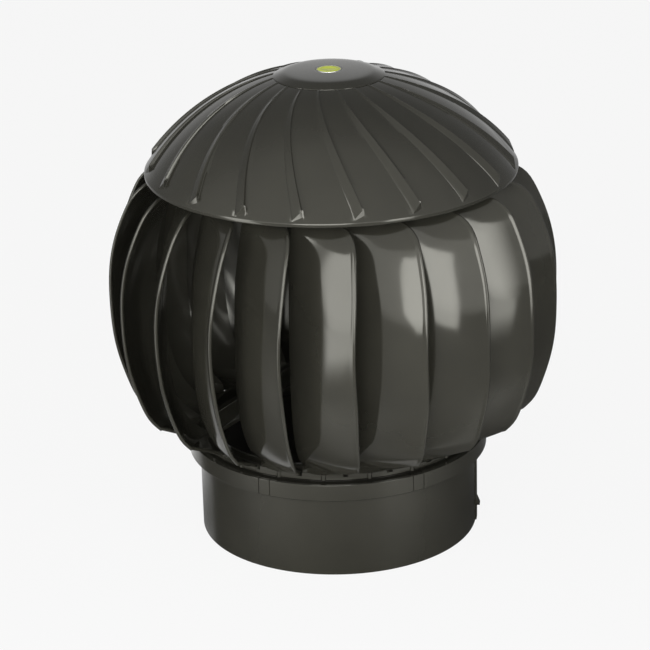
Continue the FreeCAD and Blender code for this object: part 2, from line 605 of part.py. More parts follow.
def cap_pins():
    """Headed pins that hold the vanes' tabs up against the cap's seat."""
    head_top = SEAT_Z - TAB_THICK
    pins = []
    for az in evenly(VANE_COUNT, SLOT_AZ - PITCH / 2):
        head = rod_at(PIN_HEAD_R, head_top - PIN_HEAD_THICK, head_top, TAB_PIN_CIRCLE_R, az)
        shank = rod_at(PIN_R, head_top, SEAT_Z + SEAT_THICK, TAB_PIN_CIRCLE_R, az)
        pins.append(head.fuse(shank).removeSplitter())
    return Part.makeCompound(pins)


def build_pieces():
    """Every piece of the head by its node name, at its place in the assembly."""
    low_washer_z = HUB_BOTTOM - WASHER_THICK
    top_washer_z = UPPER_BEARING_Z + BEARING_WIDTH
    pieces = {
        "base_sleeve": base_sleeve(),
        "spider": spider(),
        "axle": axle(),
        "axle_lower_washer": washer(low_washer_z),
        "axle_lower_nut": nut(low_washer_z - LOW_NUT_HEIGHT, LOW_NUT_HEIGHT),
        "axle_upper_washer": washer(top_washer_z),
        "axle_upper_nut": nut(top_washer_z + WASHER_THICK, TOP_NUT_HEIGHT),
        "bearing_spacer": spacer(),
        "bearing_housing": bearing_housing(),
        "housing_screws": housing_screws(),
        "cap": cap(),
        "cap_pins": cap_pins(),
        "crown_cover": crown_cover(),
        "badge_disc": badge_disc(),
        "lower_ring": lower_ring(),
        "ring_pins": ring_pins()}
    for name, z_low in (("lower_bearing", LOWER_BEARING_Z), ("upper_bearing", UPPER_BEARING_Z)):
        pieces[name + "_inner"] = bearing_inner(z_low)
        pieces[name + "_outer"] = bearing_outer(z_low)
        pieces[name + "_balls"] = bearing_balls(z_low)
    first_vane = vane()
    for i in range(VANE_COUNT):
        pieces["vane_%02d" % (i + 1)] = turned(first_vane, i * PITCH)
    return pieces


os.makedirs("parts", exist_ok=True)
for node_name, solid in build_pieces().items():
    solid.exportStep("parts/%s.step" % node_name)
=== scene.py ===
import math

import bpy
import numpy as np
from bpy.props import FloatProperty, FloatVectorProperty, PointerProperty
from mathutils import Matrix, Quaternion, Vector


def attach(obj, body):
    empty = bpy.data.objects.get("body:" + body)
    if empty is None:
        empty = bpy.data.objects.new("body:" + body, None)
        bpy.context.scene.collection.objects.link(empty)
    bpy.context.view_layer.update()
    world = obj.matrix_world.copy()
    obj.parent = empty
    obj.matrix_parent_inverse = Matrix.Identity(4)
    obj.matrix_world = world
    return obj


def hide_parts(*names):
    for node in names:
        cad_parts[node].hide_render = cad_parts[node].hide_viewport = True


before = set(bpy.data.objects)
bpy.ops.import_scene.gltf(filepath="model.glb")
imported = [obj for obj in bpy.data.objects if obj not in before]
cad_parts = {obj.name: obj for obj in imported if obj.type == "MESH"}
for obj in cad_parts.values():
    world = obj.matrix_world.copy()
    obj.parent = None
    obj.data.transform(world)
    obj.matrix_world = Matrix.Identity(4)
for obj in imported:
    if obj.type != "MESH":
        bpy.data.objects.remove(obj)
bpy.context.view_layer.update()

bl_info = {
    "name": "Rotary ventilation head",
    "version": (1, 0, 0),
    "blender": (4, 5, 0),
    "location": "View3D > Sidebar > Vent head",
    "description": "Models and dresses the packed ventilation head and sets up its studio",
    "category": "Object",
}

MM = 0.001
WELD = 0.01 * MM
FINE_RELIEF = 0.02 * MM
SPLINE_STEPS = 40
VANE_NODES = sorted(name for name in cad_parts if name.startswith("vane_"))
PITCH = 2 * math.pi / len(VANE_NODES)
SMALL = {"min": 0.0, "precision": 5}
COLOUR = {"min": 0.0, "max": 1.0, "subtype": "COLOR", "size": 3}


class HeadSizes(bpy.types.PropertyGroup):
    """Sizes of the pieces that are modelled here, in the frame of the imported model."""

    edge_round: FloatProperty(
        name="Edge rounding", description="Radius on the edges of the moulded pieces",
        default=0.3 * MM, unit="LENGTH", **SMALL)
    vane_wall: FloatProperty(
        name="Vane wall", description="Wall thickness of a scoop vane",
        default=1.8 * MM, unit="LENGTH", **SMALL)
    vane_scoop: FloatProperty(
        name="Vane scoop", description="Depth of a vane's hollow at mid height",
        default=3.0 * MM, unit="LENGTH", **SMALL)
    floor_scoop: FloatProperty(
        name="Floor scoop", description="Depth of a vane's hollow where the wall meets its floor",
        default=1.9 * MM, unit="LENGTH", **SMALL)
    crease_bead: FloatProperty(
        name="Crease bead", description="Step along the line where a vane's wall meets its floor",
        default=0.5 * MM, unit="LENGTH", **SMALL)
    edge_bead: FloatProperty(
        name="Edge bead", description="How far the round bead on a vane's free edge stands out of its face",
        default=0.3 * MM, unit="LENGTH", **SMALL)
    foot_corner: FloatProperty(
        name="Foot corner", description="Radius of the free corner at the foot of a vane",
        default=2.8 * MM, unit="LENGTH", **SMALL)
    rib_height: FloatProperty(
        name="Rib height", description="Height of the cap's swirl ribs at their outer end",
        default=2.1 * MM, unit="LENGTH", **SMALL)
    rib_width: FloatProperty(
        name="Rib width", description="Width of the swirl ribs' ramp at their outer end",
        default=5.8 * MM, unit="LENGTH", **SMALL)
    rib_end: FloatProperty(
        name="Rib end slope", description="Length of the facet that closes a rib's outer end",
        default=1.9 * MM, unit="LENGTH", **SMALL)


class HeadFinish(bpy.types.PropertyGroup):
    """Colours and gloss of the head's materials."""

    plastic: FloatVectorProperty(
        name="Plastic", description="Colour of the moulded pieces",
        default=(0.021, 0.0203, 0.0158), **COLOUR)
    plastic_shade: FloatVectorProperty(
        name="Plastic shade", description="Second colour that the moulding clouds towards",
        default=(0.0168, 0.0162, 0.0127), **COLOUR)
    plastic_gloss: FloatVectorProperty(
        name="Plastic sheen tint", description="Tint of the plastic's reflections",
        default=(1.0, 0.99, 0.9), **COLOUR)
    plastic_roughness: FloatProperty(
        name="Plastic roughness", description="Mean roughness of the moulded pieces",
        default=0.11, min=0.0, max=1.0, subtype="FACTOR")
    badge: FloatVectorProperty(
        name="Badge", description="Yellow-green of the badge's face",
        default=(0.60, 0.68, 0.06), **COLOUR)
    badge_rim: FloatVectorProperty(
        name="Badge rim", description="Silver of the badge's edge",
        default=(0.72, 0.72, 0.70), **COLOUR)
    steel: FloatVectorProperty(
        name="Turned steel", description="Colour of the axle",
        default=(0.50, 0.50, 0.49), **COLOUR)
    zinc: FloatVectorProperty(
        name="Zinc plate", description="Colour of the nuts, washers, spacer and screws",
        default=(0.60, 0.61, 0.63), **COLOUR)
    bearing: FloatVectorProperty(
        name="Bearing steel", description="Colour of the rings and balls",
        default=(0.66, 0.66, 0.67), **COLOUR)


class StudioSetting(bpy.types.PropertyGroup):
    """Backdrop, lamps and lens."""

    backdrop: FloatVectorProperty(
        name="Backdrop", description="Colour of the floor and of the space behind it",
        default=(0.939, 0.939, 0.939), **COLOUR)
    ambient: FloatProperty(
        name="Ambient", description="Strength of the even light from all round",
        default=0.5, min=0.0)
    lamp_strength: FloatProperty(
        name="Softbox strength", description="Brightness of the softboxes' faces, with 1 as white",
        default=6.0, min=0.0)
    fill_strength: FloatProperty(
        name="Fill strength", description="Brightness of the wide fill behind the softboxes",
        default=1.0, min=0.0)
    lens: FloatProperty(
        name="Lens", description="Focal length for a 36 mm sensor",
        default=143.48, min=10.0)
    floor_radius: FloatProperty(
        name="Floor radius", description="Radius of the pale floor",
        default=4.0, min=1.0, unit="LENGTH")


def polar(r, azimuth, z):
    """Point at radius r; the azimuth, in radians, is 0 at the front and grows towards +X."""
    return Vector((r * math.sin(azimuth), -r * math.cos(azimuth), z))


def metres(points):
    """Outline of (radius, height) points that are given in millimetres."""
    return [(r * MM, z * MM) for r, z in points]


def rectangle(inner, outer, bottom, top):
    """Outline between two radii and two heights, all in millimetres."""
    return metres([(inner, bottom), (outer, bottom), (outer, top), (inner, top)])


def deselect():
    """Leaves edit mode and clears the selection."""
    if bpy.context.object and bpy.context.object.mode != "OBJECT":
        bpy.ops.object.mode_set(mode="OBJECT")
    bpy.ops.object.select_all(action="DESELECT")


def pick(obj):
    """Makes obj the only selected object and the active one."""
    deselect()
    obj.select_set(True)
    bpy.context.view_layer.objects.active = obj


def settle(obj):
    """Puts an object's place into its mesh, with the object itself at the origin."""
    pick(obj)
    bpy.ops.object.transform_apply(location=True, rotation=True, scale=True)


def join(pieces):
    """Joins the pieces into the first of them."""
    pick(pieces[0])
    for piece in pieces:
        piece.select_set(True)
    bpy.ops.object.join()
    return pieces[0]


def select_mesh():
    """Enters edit mode on the active object with its whole mesh selected."""
    bpy.ops.object.mode_set(mode="EDIT")
    bpy.ops.mesh.select_all(action="SELECT")


def face_outwards():
    """Turns the selected faces outwards and leaves edit mode."""
    bpy.ops.mesh.normals_make_consistent(inside=False)
    bpy.ops.object.mode_set(mode="OBJECT")


def grid_from(name, rows):
    """Grid primitive whose vertices are laid on rows of points."""
    deselect()
    across, along = len(rows[0]), len(rows)
    bpy.ops.mesh.primitive_grid_add(x_subdivisions=across - 1, y_subdivisions=along - 1, size=1)
    obj = bpy.context.object
    obj.name = name
    flat = np.array([tuple(p) for row in rows for p in row], dtype=np.float32)
    obj.data.vertices.foreach_set("co", flat.ravel())
    obj.data.update()
    return obj


def lathe(name, outline, segments=160):
    """Turns a closed outline of (radius, height) points about the axis, by extruding a circle."""
    deselect()
    first_r, first_z = outline[0]
    bpy.ops.mesh.primitive_circle_add(vertices=segments, radius=first_r, location=(0, 0, first_z))
    obj = bpy.context.object
    obj.name = name
    settle(obj)
    select_mesh()
    for (r_from, z_from), (r_to, z_to) in zip(outline, outline[1:] + outline[:1]):
        bpy.ops.mesh.extrude_region_move(TRANSFORM_OT_translate={"value": (0, 0, z_to - z_from)})
        bpy.ops.transform.resize(value=(r_to / r_from, r_to / r_from, 1), center_override=(0, 0, z_to))
    bpy.ops.mesh.select_all(action="SELECT")
    bpy.ops.mesh.remove_doubles(threshold=WELD)
    face_outwards()
    return obj


def closed_grid(name, rows, sides):
    """Grid laid round a closed outline, with its seam merged and its two ends filled."""
    block = grid_from(name, rows)
    select_mesh()
    bpy.ops.mesh.remove_doubles(threshold=WELD)
    bpy.ops.mesh.fill_holes(sides=sides)
    face_outwards()
    return block


def swept(name, outline, az_from, az_to, steps=12, corner=0.0):
    """Turns a closed (radius, height) outline from one azimuth to the other.

    The corner is the radius that rounds the far end of its outermost side."""
    outer_r = max(r for r, z in outline)
    start = az_to - corner / outer_r
    places = [(az_from + (start - az_from) * i / steps, 0.0) for i in range(steps)]
    for turn in (np.linspace(0, math.pi / 2, 7) if corner else [math.pi / 2]):
        places.append((start + corner / outer_r * math.sin(turn), corner * (1 - math.cos(turn))))
    rows = []
    for r, z in outline + outline[:1]:
        rows.append([polar(r - cut if r == outer_r else r, az, z) for az, cut in places])
    return closed_grid(name, rows, len(outline))


def plate(name, outline, thick, azimuth):
    """Upright plate with the given (radius, height) outline, centred on an azimuth."""
    side = Vector((math.cos(azimuth), math.sin(azimuth), 0)) * (thick / 2)
    rows = [[polar(r, azimuth, z) - side, polar(r, azimuth, z) + side] for r, z in outline + outline[:1]]
    return closed_grid(name, rows, len(outline))


def apply_modifier(obj, kind, **settings):
    """Adds a modifier with the given settings and applies it."""
    pick(obj)
    modifier = obj.modifiers.new(kind.title(), kind)
    for key, value in settings.items():
        setattr(modifier, key, value)
    bpy.ops.object.modifier_apply(modifier=modifier.name)


def shade(obj, angle):
    """Shades an object smooth, apart from edges sharper than the angle, in degrees."""
    pick(obj)
    bpy.ops.object.shade_smooth_by_angle(angle=math.radians(angle))


def soften(obj, width, angle=40.0):
    """Rounds the sharp edges and shades the rest smooth, as a mould leaves it."""
    if width > 0:
        apply_modifier(obj, "BEVEL", width=width, segments=2, limit_method="ANGLE",
                       angle_limit=math.radians(angle), use_clamp_overlap=True)
    shade(obj, angle)
    apply_modifier(obj, "WEIGHTED_NORMAL", keep_sharp=True)


def dress(obj, material):
    """Gives an object that is modelled here its only material."""
    obj.data.materials.clear()
    obj.data.materials.append(material)


def stand_for(obj, node, body):
    """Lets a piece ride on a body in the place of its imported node."""
    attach(obj, body)
    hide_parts(node)


def smooth_curve(points, count):
    """Evenly spaced points and directions on a natural cubic spline through the given points."""
    knots = np.array([tuple(p) for p in points])
    steps = np.linalg.norm(np.diff(knots, axis=0), axis=1)
    place = np.concatenate([[0.0], np.cumsum(steps)])
    size = len(knots)
    matrix, right = np.eye(size), np.zeros((size, 3))
    for i in range(1, size - 1):
        before, after = steps[i - 1], steps[i]
        matrix[i, i - 1:i + 2] = before, 2 * (before + after), after
        right[i] = 6 * ((knots[i + 1] - knots[i]) / after - (knots[i] - knots[i - 1]) / before)
    bend = np.linalg.solve(matrix, right)
    fine = []
    for i in range(size - 1):
        for t in np.linspace(0, 1, SPLINE_STEPS, endpoint=i == size - 2):
            h, a, b = steps[i], 1 - t, t
            fine.append(a * knots[i] + b * knots[i + 1]
                        + ((a ** 3 - a) * bend[i] + (b ** 3 - b) * bend[i + 1]) * h * h / 6)
    fine = np.array(fine)
    length = np.concatenate([[0.0], np.cumsum(np.linalg.norm(np.diff(fine, axis=0), axis=1))])
    wanted = np.linspace(0, length[-1], count)
    even = np.stack([np.interp(wanted, length, fine[:, k]) for k in range(3)], axis=1)
    slope = np.gradient(even, axis=0)
    return [(Vector(p), Vector(d).normalized()) for p, d in zip(even, slope)]


def bowed(inner, outer, rise, depth, columns):
    """Points on the arc that bulges by depth between two points, square to rise.

    Each column is a share of the way across and a lift off the arc."""
    chord = outer - inner
    normal = chord.cross(rise).normalized()
    half = chord.length / 2
    radius = (half * half + depth * depth) / (2 * depth)
    spread = math.asin(min(1.0, half / radius))
    along = chord.normalized()
    centre = (inner + outer) / 2 + normal * (depth - radius)
    row = []
    for share, lift in columns:
        angle = spread * (2 * share - 1)
        row.append(centre + (along * math.sin(angle) + normal * math.cos(angle)) * (radius + lift))
    return row


def vane_columns(width, bead, edge_radius):
    """Columns across a vane's outer face: even ones, then the rise to the bead on its free edge."""
    even, bead_run = 14, 3.2
    start, end = 1 - bead_run * edge_radius / width, 1 - edge_radius / width
    columns = [(start * i / even, 0.0) for i in range(even)]
    return columns + [(start + (end - start) * t, bead * (1 - math.cos(math.pi * t)) / 2)
                      for t in (0.0, 0.25, 0.5, 0.75, 1.0)]


def thicken(rows, bend, wall, edge_radius):
    """Carries each row of the outer face round the free edge and back along the inner face.

    The two rows at the bend share one direction of thickness, so that the inner face doesn't fold."""
    grid = np.array([[tuple(p) for p in row] for row in rows])
    along = np.gradient(grid, axis=1)
    along /= np.linalg.norm(along, axis=2, keepdims=True)
    normal = np.cross(along, np.gradient(grid, axis=0))
    normal /= np.linalg.norm(normal, axis=2, keepdims=True)
    shared = normal[bend - 1] + normal[bend]
    normal[bend - 1] = normal[bend] = shared / np.linalg.norm(shared, axis=1, keepdims=True)
    turns = np.linspace(0, math.pi, 9)[1:-1]
    closed = []
    for points, sides, ahead in zip(grid, normal, along):
        lip = [points[-1] + (ahead[-1] * math.sin(a) - sides[-1] * (1 - math.cos(a))) * edge_radius
               for a in turns]
        back = [points[-1] - sides[-1] * 2 * edge_radius] + list((points - sides * wall)[-4::-1])
        closed.append([Vector(p) for p in (*points, *lip, *back, points[0])])
    return closed


class Nodes:
    """Short-hand for building the node tree of a material, a lamp or the world."""

    def __init__(self, tree):
        self.tree = tree

    def add(self, kind, **settings):
        """New node with the given settings."""
        node = self.tree.nodes.new(kind)
        for key, value in settings.items():
            setattr(node, key, value)
        return node

    def feed(self, socket, value):
        """Links a node's output to the socket, or puts a plain value into it."""
        if isinstance(value, bpy.types.NodeSocket):
            self.tree.links.new(value, socket)
        else:
            socket.default_value = value

    def math(self, operation, first, second):
        """Result of a sum or a product whose parts are node outputs or numbers."""
        node = self.add("ShaderNodeMath", operation=operation)
        self.feed(node.inputs[0], first)
        self.feed(node.inputs[1], second)
        return node.outputs[0]

    def product(self, first, *factors):
        """Product of node outputs or numbers."""
        for factor in factors:
            first = self.math("MULTIPLY", first, factor)
        return first

    def tilted(self, value, slope):
        """One, plus the slope times the value."""
        return self.math("ADD", self.math("MULTIPLY", value, slope), 1.0)

    def vector(self, operation, first, second=None):
        """Result of a vector operation, a vector or a number."""
        node = self.add("ShaderNodeVectorMath", operation=operation)
        self.feed(node.inputs[0], first)
        if second is not None:
            self.feed(node.inputs[1], second)
        return node.outputs["Value" if operation in ("LENGTH", "DOT_PRODUCT") else "Vector"]

    def axes(self, vector):
        """The outputs X, Y and Z of a vector."""
        node = self.add("ShaderNodeSeparateXYZ")
        self.feed(node.inputs[0], vector)
        return node.outputs

    def ranged(self, source, low, high, start=0.3, end=0.7, **settings):
        """Takes the value from between start and end to between low and high."""
        node = self.add("ShaderNodeMapRange", **settings)
        for key, value in (("From Min", start), ("From Max", end), ("To Min", low), ("To Max", high)):
            node.inputs[key].default_value = value
        self.feed(node.inputs["Value"], source)
        return node.outputs["Result"]

    def smooth_step(self, value, start, end):
        """Share that rises smoothly from 0 to 1 as the value goes from start to end, up or down."""
        low, high = sorted((start, end))
        return self.ranged(value, float(start > end), float(start < end), low, high,
                           interpolation_type="SMOOTHSTEP")

    def falloff(self, value, stops):
        """Brightness that follows a value between -1 and 1 through the given stops."""
        curve = self.add("ShaderNodeFloatCurve")
        line = curve.mapping.curves[0]
        highest = max(level for _, level in stops)
        places = [((at + 1) / 2, level / highest) for at, level in stops]
        line.points[0].location, line.points[1].location = places[0], places[-1]
        for place in places[1:-1]:
            line.points.new(*place)
        curve.mapping.update()
        self.feed(curve.inputs["Value"], self.ranged(value, 0.0, 1.0, -1.0, 1.0))
        return self.math("MULTIPLY", curve.outputs["Value"], highest)

    def by_ray(self, seen, mirrored, other):
        """Value for camera and glass rays, for mirror rays, and for the rays that light surfaces."""
        path = self.add("ShaderNodeLightPath")
        straight = self.math("MAXIMUM", path.outputs["Is Camera Ray"], path.outputs["Is Transmission Ray"])
        result = other
        for factor, value in ((path.outputs["Is Glossy Ray"], mirrored), (straight, seen)):
            mix = self.add("ShaderNodeMix")
            for name, item in (("Factor", factor), ("A", result), ("B", value)):
                self.feed(mix.inputs[name], item)
            result = mix.outputs["Result"]
        return result


class Paint(Nodes):
    """Short-hand for building a material."""

    def __init__(self, name):
        self.material = bpy.data.materials.new(name)
        self.material.use_nodes = True
        super().__init__(self.material.node_tree)
        self.shader = self.tree.nodes["Principled BSDF"]
        self.place = self.add("ShaderNodeTexCoord").outputs["Object"]

    def set(self, name, value):
        """Sets an input of the shader to a node's output or to a value."""
        self.feed(self.shader.inputs[name], value)

    def noise(self, scale, detail=4.0, stretch=(1, 1, 1)):
        """Soft noise over the object's own coordinates."""
        mapping = self.add("ShaderNodeMapping")
        mapping.inputs["Scale"].default_value = stretch
        self.feed(mapping.inputs["Vector"], self.place)
        noise = self.add("ShaderNodeTexNoise")
        noise.inputs["Scale"].default_value = scale
        noise.inputs["Detail"].default_value = detail
        self.feed(noise.inputs["Vector"], mapping.outputs["Vector"])
        return noise.outputs["Fac"]

    def mixed(self, factor, first, second):
        """Colour between a first and a second one, either of them a node's output or plain."""
        node = self.add("ShaderNodeMix", data_type="RGBA")
        self.feed(node.inputs["Factor"], factor)
        for value, name in ((first, "A"), (second, "B")):
            socket = next(s for s in node.inputs if s.name == name and s.type == "RGBA")
            self.feed(socket, value if isinstance(value, bpy.types.NodeSocket) else (*value, 1.0))
        return next(s for s in node.outputs if s.type == "RGBA")

    def bump(self, height, strength, distance):
        """Fine relief from the height."""
        node = self.add("ShaderNodeBump")
        node.inputs["Strength"].default_value = strength
        node.inputs["Distance"].default_value = distance
        self.feed(node.inputs["Height"], height)
        self.set("Normal", node.outputs["Normal"])


def plastic_material():
    """Glossy graphite moulding: clouded colour, flow marks, orange peel and a little dust."""
    finish = bpy.context.scene.head_finish
    speck_radius, dust_colour, dust_cover, dust_roughness = 0.022, (0.32, 0.31, 0.28), 0.35, 1.2
    paint = Paint("graphite_plastic")
    clouds = paint.ranged(paint.noise(28.0, detail=5.0), 0.0, 1.0)
    base = paint.mixed(clouds, finish.plastic, finish.plastic_shade)
    specks = paint.add("ShaderNodeTexVoronoi", feature="F1")
    specks.inputs["Scale"].default_value = 95.0
    paint.feed(specks.inputs["Vector"], paint.place)
    near = paint.math("LESS_THAN", specks.outputs["Distance"], speck_radius)
    chance = paint.math("GREATER_THAN", paint.noise(19.0, detail=1.0), 0.6)
    dust = paint.product(near, chance, dust_cover)
    paint.set("Base Color", paint.mixed(dust, base, dust_colour))
    flow = paint.noise(160.0, detail=3.0, stretch=(1, 1, 0.06))
    peel = paint.noise(900.0, detail=2.0)
    mean = finish.plastic_roughness
    rough = paint.ranged(flow, mean * 0.8, mean * 1.25)
    paint.set("Roughness", paint.math("ADD", rough, paint.product(dust, dust_roughness)))
    paint.set("IOR", 1.5)
    paint.set("Specular Tint", (*finish.plastic_gloss, 1.0))
    paint.bump(paint.math("ADD", paint.product(flow, 0.5), paint.product(peel, 0.12)), 0.12, FINE_RELIEF)
    return paint.material


def metal_material(name, colour, roughness, turned):
    """Bare or plated metal: bright with fine lines round the axis, or with a spangled plate."""
    paint = Paint(name)
    lines = paint.noise(220.0, stretch=(1, 1, 30) if turned else (1, 1, 1))
    paint.set("Base Color", paint.mixed(paint.ranged(lines, 0.0, 1.0), colour, [c * 0.72 for c in colour]))
    paint.set("Metallic", 1.0)
    paint.set("Roughness", paint.ranged(lines, roughness * 0.7, roughness * 1.4))
    paint.bump(lines, 0.15, FINE_RELIEF)
    return paint.material


def badge_material():
    """Printed yellow-green face under clear lacquer, with faint print grain."""
    finish = bpy.context.scene.head_finish
    paint = Paint("badge_print")
    grain = paint.noise(2400.0, detail=2.0)
    deeper = [c * 0.8 for c in finish.badge]
    paint.set("Base Color", paint.mixed(paint.ranged(grain, 0.0, 1.0), finish.badge, deeper))
    paint.set("Roughness", paint.ranged(grain, 0.3, 0.42))
    paint.set("Specular IOR Level", 0.3)
    paint.bump(grain, 0.08, FINE_RELIEF / 2)
    return paint.material


def plastic():
    """The graphite plastic of every moulded piece, made on its first use."""
    return bpy.data.materials.get("graphite_plastic") or plastic_material()


SLOT_AZ = math.radians(3.0)
ROOT_LAG = math.radians(17.0)
FOOT_INNER, FOOT_OUTER, FOOT_BOTTOM, FOOT_TOP = 78.4, 84.0, 62.4, 64.6
HALF_SLOT = 0.75 / FOOT_OUTER
TAB_INNER, TAB_OUTER, TAB_BOTTOM, TAB_TOP = 84.5, 96.5, 217.4, 219.6
VANE_EDGE = ((112.4, 5.8, 77.1), (118.0, 5.6, 83.6), (123.3, 5.2, 95.3), (127.4, 5.0, 108.6),
             (130.2, 4.8, 122.4), (131.6, 4.4, 143.4), (130.8, 4.6, 165.4), (126.6, 5.2, 185.4),
             (120.4, 5.6, 201.0), (114.2, 5.8, 211.2), (105.0, 4.6, 217.4), (96.5, 1.6, 219.0))
VANE_ROOT = ((82.5, 68.6), (90.4, 74.6), (98.0, 85.2), (104.4, 108.0), (106.0, 132.0), (105.6, 146.0),
             (104.8, 164.0), (102.1, 187.0), (97.4, 204.5), (94.3, 213.6), (91.0, 218.4))
SILL_R, SILL_Z = 83.5 * MM, 63.5 * MM


def vane_guides():
    """Lines that a vane's free edge and its inner edge follow, from the crease to the top."""
    edge = [polar(r * MM, math.radians(az), z * MM) for r, az, z in VANE_EDGE]
    root = [polar(r, SLOT_AZ - ROOT_LAG, z) for r, z in metres(VANE_ROOT)]
    return edge, root


def vane_wall(pairs, edge_radius):
    """Rows across the outer face of a vane's wall, deepest at mid height and flat at the top."""
    sizes = bpy.context.scene.head_sizes
    rows = []
    for i, ((inner, inner_rise), (outer, outer_rise)) in enumerate(pairs):
        t = i / (len(pairs) - 1)
        depth = sizes.vane_scoop * (0.55 + 0.45 * math.sin(math.pi * t)) * (1 - 0.9 * t ** 6)
        columns = vane_columns((outer - inner).length, sizes.edge_bead, edge_radius)
        rows.append(bowed(inner, outer, inner_rise + outer_rise, depth, columns))
    return rows


def vane_floor(sill, crease, edge_radius, count):
    """Rows across the outer face of a vane's floor, from the sill up, with the free corner rounded."""
    sizes = bpy.context.scene.head_sizes
    rise = crease[0] - sill[0] + crease[1] - sill[1]
    height = (crease[1] - sill[1]).length
    rows = []
    for i in range(count):
        t = i / (count - 1)
        width = (sill[1].lerp(crease[1], t) - sill[0].lerp(crease[0], t)).length
        row = []
        for share, lift in vane_columns(width, sizes.edge_bead, edge_radius):
            past = max(0.0, sizes.foot_corner - (1 - share) * width)
            raised = sizes.foot_corner - math.sqrt(sizes.foot_corner ** 2 - past ** 2)
            level = t + (1 - t) * raised / height
            left, right = [low.lerp(high, level) for low, high in zip(sill, crease)]
            depth = sizes.floor_scoop * (0.35 + 0.65 * level)
            row += bowed(left, right, rise, depth, [(share, lift)])
        rows.append(row)
    return rows


def model_vane(name):
    """One scoop vane: its wall and floor as a single shell, with the foot and the tab."""
    sizes = bpy.context.scene.head_sizes
    stations, floor_rows = 46, 6
    edge_radius = (sizes.vane_wall + sizes.edge_bead) / 2
    edge, root = vane_guides()
    pairs = list(zip(smooth_curve(root, stations), smooth_curve(edge, stations)))
    (inner, inner_rise), (outer, outer_rise) = pairs[0]
    outward = (outer - inner).cross(inner_rise + outer_rise).normalized()
    up = (inner_rise + outer_rise).normalized()
    tuck = (up - outward) * sizes.crease_bead
    foot_from, foot_to = SLOT_AZ - PITCH + HALF_SLOT, SLOT_AZ - HALF_SLOT
    sill = [polar(SILL_R, az, SILL_Z) for az in (foot_from, foot_to)]
    floor = vane_floor(sill, [inner + tuck, outer + tuck], edge_radius, floor_rows)
    rows = thicken(floor + vane_wall(pairs, edge_radius), floor_rows, sizes.vane_wall, edge_radius)
    shell = closed_grid(name, rows, len(rows[0]))
    foot = swept("foot", rectangle(FOOT_INNER, FOOT_OUTER, FOOT_BOTTOM, FOOT_TOP), foot_from, foot_to,
                 corner=sizes.foot_corner)
    half_tab = PITCH / 2 - HALF_SLOT
    middle = SLOT_AZ - PITCH / 2
    tab = swept("tab", rectangle(TAB_INNER, TAB_OUTER, TAB_BOTTOM, TAB_TOP), middle - half_tab,
                middle + half_tab)
    vane = join([shell, foot, tab])
    pick(vane)
    select_mesh()
    face_outwards()
    soften(vane, sizes.edge_round, angle=35.0)
    dress(vane, plastic())
    return vane


def copies_round(first):
    """The first piece and a copy of it at each further pitch round the rotor."""
    pieces = [first]
    for i in range(1, len(VANE_NODES)):
        copy = first.copy()
        copy.data = first.data.copy()
        copy.data.transform(Matrix.Rotation(i * PITCH, 4, "Z"))
        bpy.context.collection.objects.link(copy)
        pieces.append(copy)
    return pieces


class HEAD_OT_vanes(bpy.types.Operator):
    """Models one scoop vane and copies it round the rotor"""

    bl_idname = "head.vanes"
    bl_label = "Scoop vanes"

    def execute(self, context):
        first = model_vane("scoop_vane_01")
        stand_for(first, VANE_NODES[0], "rotor")
        # Each copy, the first vane too, rides on the rotor and hides its own node.
        for i, (vane, node) in enumerate(zip(copies_round(first), VANE_NODES)):
            vane.name = "scoop_vane_%02d" % (i + 1)
            stand_for(vane, node, "rotor")
        return {"FINISHED"}


DOME_R = 130.08 * MM
DOME_CENTRE = 149.12 * MM
CAP_WALL = 2.2 * MM
CAP_HOLE_R = 20.0
RIB_FROM, RIB_TO = 32.6 * MM, 105.6 * MM
RIB_START_HEIGHT, RIB_START_WIDTH = 0.5 * MM, 0.8 * MM
RIB_END_AZ, RIB_SWEEP = math.radians(-8.6), math.radians(19.6)
RIB_FLANK = 0.7 * MM
RIM_TURN_R, RIM_TURN_Z, RIM_ROUND = 106.2 * MM, 221.64 * MM, 1.5 * MM
RIM_LEAN = 34.0
RIM_UNDER = ((107.7, 220.6), (107.58, 220.25), (107.3, 220.0), (106.9, 219.9), (105.5, 219.9))
SEAT = ((TAB_INNER, TAB_TOP), (97.7, TAB_TOP), (97.7, 234.0), (95.3, 236.0), (95.3, 221.8),
        (TAB_INNER, 221.8))


def dome_point(r, azimuth, lift=0.0):
    """Point over the cap's sphere at radius r, raised by lift along the sphere's normal."""
    slant = math.asin(r / DOME_R)
    reach = DOME_R + lift
    return polar(reach * math.sin(slant), azimuth, DOME_CENTRE + reach * math.cos(slant))


def rib_columns(width, r, share):
    """Columns over one pitch of the cap at radius r, from one rib's crest to the next.

    Each is an azimuth, a share of the rib's height, and how far from the rib's end its own foot lies."""
    lag = RIB_END_AZ - RIB_SWEEP * (1 - share)
    crest = lag + PITCH
    ramp = crest - width / r
    flank_end = lag + RIB_FLANK / r
    columns = [(lag, 1.0, 0.0), (lag + 0.1 * MM / r, 0.92, 0.0), (lag + 0.35 * MM / r, 0.12, 0.0),
               (flank_end, 0.0, 0.0)]
    columns += [(flank_end + (ramp - flank_end) * i / 8, 0.0, 1.0) for i in range(1, 8)]
    columns += [(ramp - 0.3 * MM / r, 0.0, 1.0), (ramp, 0.14, 0.95)]
    columns += [(ramp + (crest - ramp) * k, 0.14 + 0.86 * k, 1 - k) for k in (0.3, 0.6, 0.85)]
    return columns + [(crest - 0.25 * MM / r, 0.98, 0.03), (crest, 1.0, 0.0)]


def rib_row(r, share, height, width):
    """Points across one pitch of the cap at radius r, over the ribs of the given height."""
    return [dome_point(r, az, k * height) for az, k, _ in rib_columns(width, r, share)]


def ring_row(azimuths, r, z):
    """Points at one radius and height, at the given azimuths."""
    return [polar(r, az, z) for az in azimuths]


